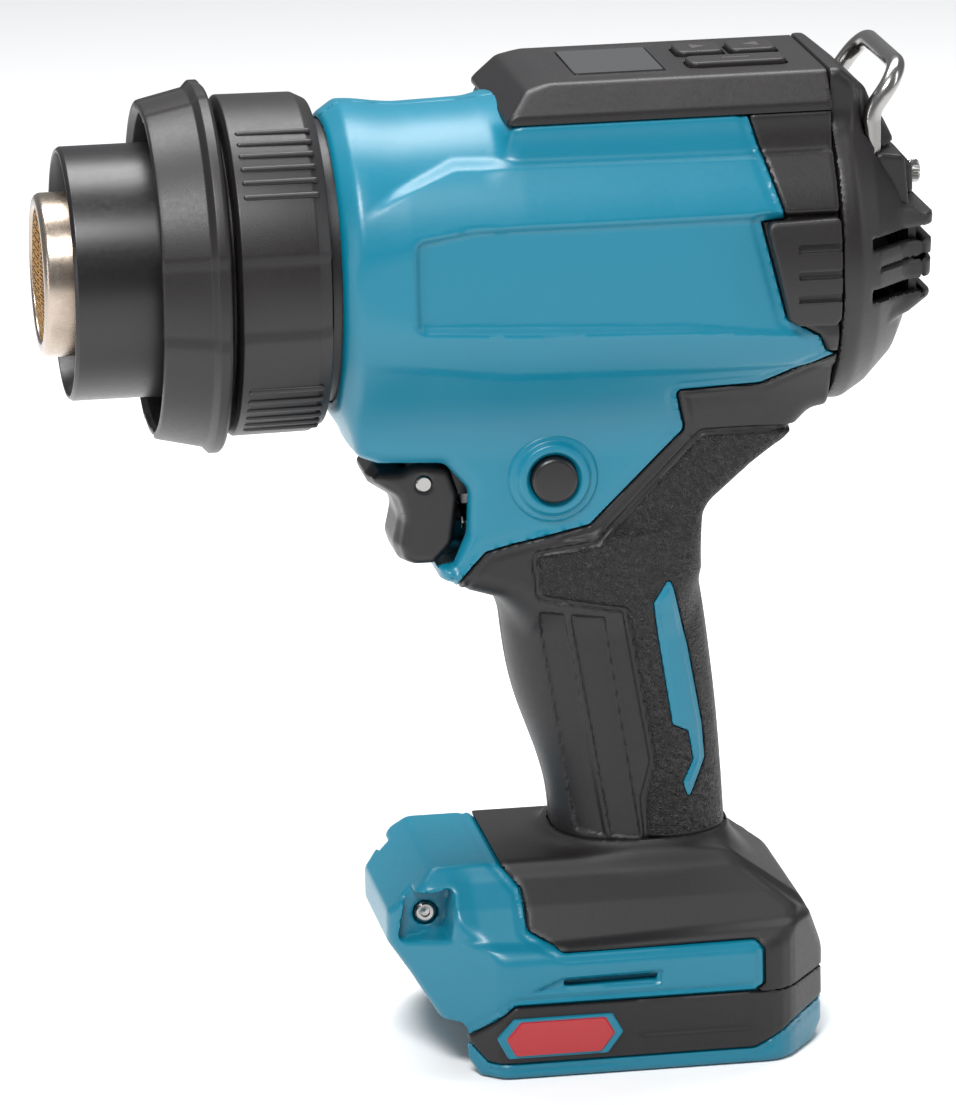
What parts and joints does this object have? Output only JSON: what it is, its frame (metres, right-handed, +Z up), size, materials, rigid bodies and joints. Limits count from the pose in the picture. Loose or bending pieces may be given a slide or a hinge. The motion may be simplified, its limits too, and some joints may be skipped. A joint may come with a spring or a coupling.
{
  "type": "cordless heat gun",
  "caption": "Cordless heat gun: guarded steel outlet tube with mesh, twist ring, barrel with display and keys, trigger grip, hanging hook and battery base.",
  "frame": {"origin": "on the plane the base stands on, under the middle of the gun's length, in its plane of symmetry", "axes": "-X along the barrel towards the muzzle, +Z up, +Y to the right hand of the person holding the gun"},
  "size_m": [0.197, 0.082, 0.2223],
  "materials": {
    "teal_plastic": "satin moulded plastic with a fine grain",
    "soft_grip": "matt soft-touch rubber with a leathery texture",
    "black_plastic": "matt black moulded plastic with a fine grain",
    "satin_black": "smooth satin black",
    "trigger_plastic": "satin black plastic",
    "key_rubber": "matt silicone keys",
    "bright_steel": "polished steel wire and fasteners",
    "hot_steel": "nickel-plated steel with a warm heat tint",
    "window_glass": "clear tinted window",
    "lcd_grey": "grey-green liquid crystal display",
    "circuit_board": "green fibreglass board",
    "mica": "flaky mica sheet",
    "heating_wire": "oxidised resistance wire",
    "motor_can": "drawn steel can",
    "red_badge": "glossy red plastic, no lettering",
    "contact_brass": "plated brass blades"
  },
  "bodies": {
    "housing": {"housing_left": "teal_plastic", "housing_right": "teal_plastic", "grip_left": "soft_grip", "grip_right": "soft_grip", "grip_inserts": "teal_plastic", "side_pads": "soft_grip", "rear_cover": "black_plastic", "hook_block": "black_plastic", "hanging_hook": "bright_steel", "hook_screw": "bright_steel", "display_panel": "black_plastic", "display_window": "window_glass", "display_module": "lcd_grey", "panel_board": "circuit_board", "heat_guard": "black_plastic", "nozzle_cover": "satin_black", "outlet_tube": "hot_steel", "tube_flange": "hot_steel", "outlet_mesh": "hot_steel", "mica_sleeve": "mica", "heater_core": "mica", "heating_coils": "heating_wire", "thermocouple": "bright_steel", "air_guide": "black_plastic", "motor": "motor_can", "trigger_pin": "bright_steel", "trigger_switch": "black_plastic", "trigger_spring": "bright_steel", "lock_collar": "teal_plastic", "control_board": "circuit_board", "base_shell": "teal_plastic", "base_cover": "soft_grip", "base_bumpers": "soft_grip", "base_badges": "red_badge", "rail_plate": "black_plastic", "terminal_block": "black_plastic", "battery_contacts": "contact_brass", "housing_screws": "bright_steel", "base_screws": "bright_steel"},
    "ring": {"lock_ring": "black_plastic"},
    "trigger": {"trigger": "trigger_plastic"},
    "plunger": {"switch_plunger": "black_plastic"},
    "lock_button": {"lock_button": "trigger_plastic"},
    "up_key": {"up_key": "key_rubber"},
    "down_key": {"down_key": "key_rubber"},
    "mode_key": {"mode_key": "key_rubber"},
    "rotor": {"motor_shaft": "bright_steel", "fan_wheel": "black_plastic"}
  },
  "joints": [
    {"name": "trigger_pull", "type": "hinge", "parent": "housing", "child": "trigger", "pos_m": [-0.0154, 0, 0.1305], "axis": [0, -1, 0], "range_deg": [0, 12], "stiffness_Nm_per_rad": 0.8, "deforming": ["trigger_spring"]},
    {"name": "plunger_slide", "type": "slide", "parent": "housing", "child": "plunger", "axis": [1, 0, 0], "range_m": [0, 0.0023]},
    {"name": "lock_press", "type": "slide", "parent": "housing", "child": "lock_button", "axis": [0, 1, 0], "range_m": [0, 0.003], "stiffness_N_per_m": 800},
    {"name": "up_key_press", "type": "slide", "parent": "housing", "child": "up_key", "axis": [0, 0, -1], "range_m": [0, 0.0006], "stiffness_N_per_m": 1500},
    {"name": "down_key_press", "type": "slide", "parent": "housing", "child": "down_key", "axis": [0, 0, -1], "range_m": [0, 0.0006], "stiffness_N_per_m": 1500},
    {"name": "mode_key_press", "type": "slide", "parent": "housing", "child": "mode_key", "axis": [0, 0, -1], "range_m": [0, 0.0006], "stiffness_N_per_m": 1500},
    {"name": "ring_twist", "type": "hinge", "parent": "housing", "child": "ring", "pos_m": [-0.04775, 0, 0.1795], "axis": [1, 0, 0], "range_deg": [0, 30]},
    {"name": "fan_spin", "type": "hinge", "parent": "housing", "child": "rotor", "pos_m": [0.042, 0, 0.1795], "axis": [1, 0, 0], "continuous": true}
  ],
  "couplings": [
    {"joint": "plunger_slide", "follows": "trigger_pull", "m_per_rad": 0.0105}
  ]
}
